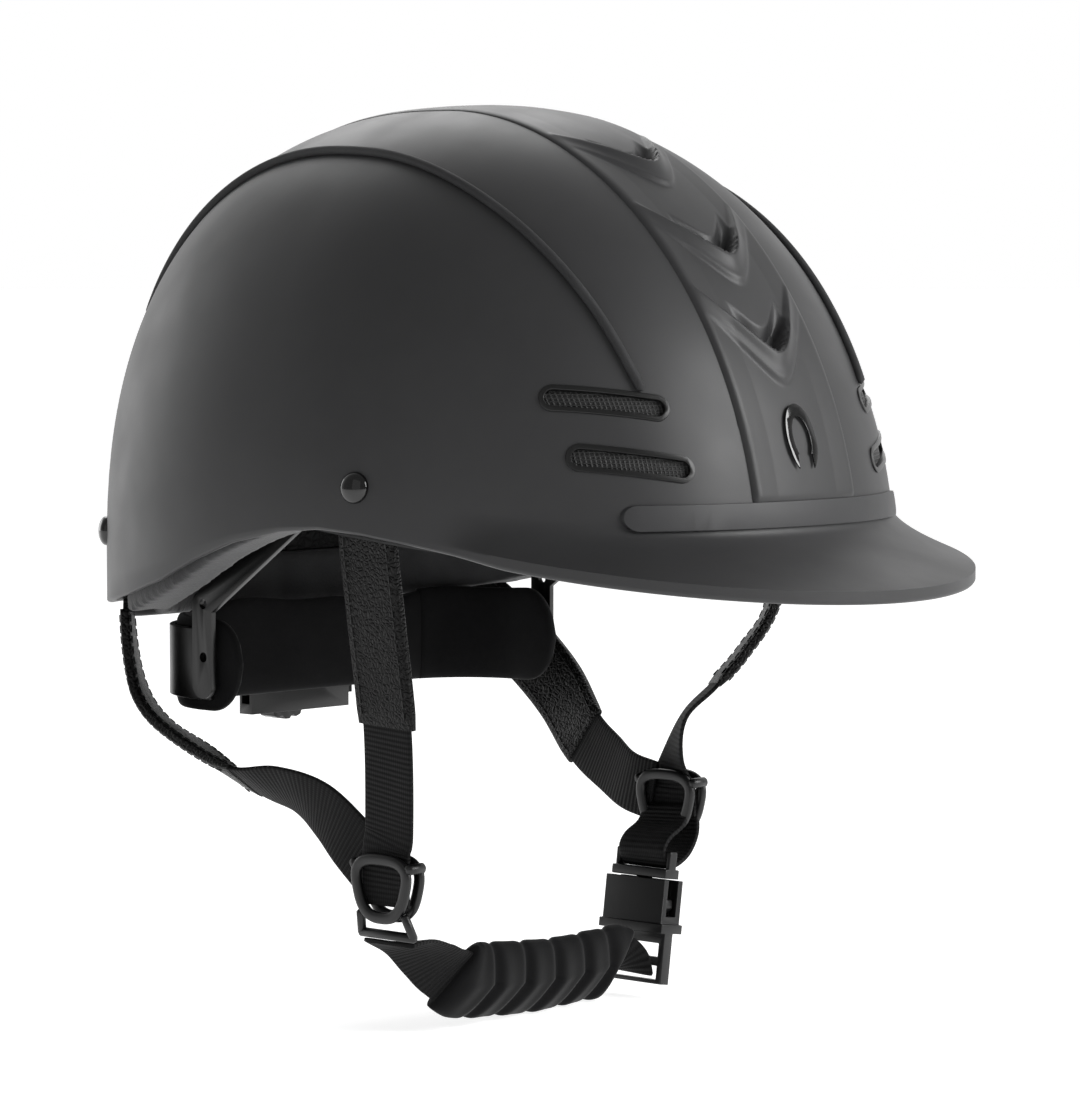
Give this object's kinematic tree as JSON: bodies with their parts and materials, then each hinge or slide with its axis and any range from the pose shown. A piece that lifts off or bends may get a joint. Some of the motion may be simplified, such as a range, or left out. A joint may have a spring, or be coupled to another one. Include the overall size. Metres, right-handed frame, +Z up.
{
  "type": "equestrian riding helmet",
  "caption": "Riding helmet: moulded shell with integral peak, vented crown, padded liner, dial-fit nape cradle and webbing harness with chin pad and side-release buckle.",
  "frame": {"origin": "middle of the head space at the shell's widest level, where the wearer's head sits", "axes": "+Z up, -Y out of the peak, -X to the wearer's right; the head comes in along +Z from below"},
  "size_m": [0.2238, 0.3052, 0.2951],
  "materials": {
    "shell": "matte",
    "trim": "matte",
    "badge": "gloss",
    "vent_frame": "satin",
    "vent_mesh": "woven",
    "rivet": "gloss",
    "foam": "matte",
    "felt": "flocked",
    "hardware": "satin",
    "webbing": "woven",
    "leather": "pebbled",
    "pad_fabric": "napped",
    "piping": "woven",
    "cradle_plastic": "satin"
  },
  "bodies": {
    "helmet": {"outer_shell": "shell", "peak_trim": "trim", "badge": "badge", "piping_left": "piping", "piping_right": "piping", "side_rivets": "rivet", "rear_rivets": "rivet", "foam_liner": "foam", "rim_pad": "felt", "crown_pad": "felt", "forehead_pad": "felt", "cradle_pins": "hardware", "vent_frame_upper_left": "vent_frame", "vent_frame_upper_right": "vent_frame", "vent_frame_lower_left": "vent_frame", "vent_frame_lower_right": "vent_frame", "vent_mesh_upper_left": "vent_mesh", "vent_mesh_upper_right": "vent_mesh", "vent_mesh_lower_left": "vent_mesh", "vent_mesh_lower_right": "vent_mesh", "rear_webbing_right": "webbing", "rear_webbing_left": "webbing", "rear_cover_right": "leather", "rear_cover_left": "leather"},
    "harness": {"front_webbing_right": "webbing", "front_webbing_left": "webbing", "front_cover_right": "leather", "front_cover_left": "leather", "slider_base_right": "hardware", "slider_base_left": "hardware", "slider_cover_right": "hardware", "slider_cover_left": "hardware", "buckle_webbing": "webbing", "buckle_plug": "hardware"},
    "buckle_arm_front": {"buckle_arm_front": "hardware"},
    "buckle_arm_rear": {"buckle_arm_rear": "hardware"},
    "chin_strap": {"chin_webbing": "webbing", "chin_pad": "pad_fabric", "buckle_socket": "hardware"},
    "cradle_arms": {"cradle_arm_right": "cradle_plastic", "cradle_arm_left": "cradle_plastic"},
    "cradle": {"nape_band": "cradle_plastic", "nape_pad": "pad_fabric", "dial_housing": "cradle_plastic"},
    "dial": {"size_dial": "cradle_plastic", "dial_pinion": "cradle_plastic"},
    "rack_right": {"rack_right": "cradle_plastic"},
    "rack_left": {"rack_left": "cradle_plastic"}
  },
  "joints": [
    {"name": "harness_swing", "type": "hinge", "parent": "helmet", "child": "harness", "pos_m": [0, -0.0439, 0.0285], "axis": [1, 0, 0], "range_deg": [-12, 12], "deforming": ["rear_webbing_right", "rear_webbing_left", "rear_cover_right", "rear_cover_left"]},
    {"name": "chin_strap_release", "type": "hinge", "parent": "harness", "child": "chin_strap", "pos_m": [-0.083, -0.033, -0.1122], "axis": [0, 1, 0], "range_deg": [0, 60]},
    {"name": "buckle_front_button", "type": "hinge", "parent": "harness", "child": "buckle_arm_front", "pos_m": [0.05166, -0.027, -0.10901], "axis": [0.9901, 0, -0.14], "range_deg": [0, 5], "stiffness_Nm_per_rad": 0.02},
    {"name": "buckle_rear_button", "type": "hinge", "parent": "harness", "child": "buckle_arm_rear", "pos_m": [0.05166, -0.013, -0.10901], "axis": [-0.9901, 0, 0.14], "range_deg": [0, 5], "stiffness_Nm_per_rad": 0.02},
    {"name": "cradle_tilt", "type": "hinge", "parent": "helmet", "child": "cradle_arms", "pos_m": [0, 0.01, 0.016], "axis": [1, 0, 0], "range_deg": [-4, 0]},
    {"name": "cradle_slide", "type": "slide", "parent": "cradle_arms", "child": "cradle", "axis": [0, -1, 0], "range_m": [0, 0.01]},
    {"name": "dial_turn", "type": "hinge", "parent": "cradle", "child": "dial", "pos_m": [0, 0.09, -0.045], "axis": [0, 1, 0], "range_deg": [0, 144]},
    {"name": "rack_right_slide", "type": "slide", "parent": "cradle", "child": "rack_right", "axis": [1, 0, 0], "range_m": [0, 0.0101]},
    {"name": "rack_left_slide", "type": "slide", "parent": "cradle", "child": "rack_left", "axis": [-1, 0, 0], "range_m": [0, 0.0101]}
  ],
  "couplings": [
    {"joint": "dial_turn", "follows": "cradle_slide", "rad_per_m": 250},
    {"joint": "rack_right_slide", "follows": "cradle_slide", "ratio": 1},
    {"joint": "rack_left_slide", "follows": "cradle_slide", "ratio": 1}
  ]
}
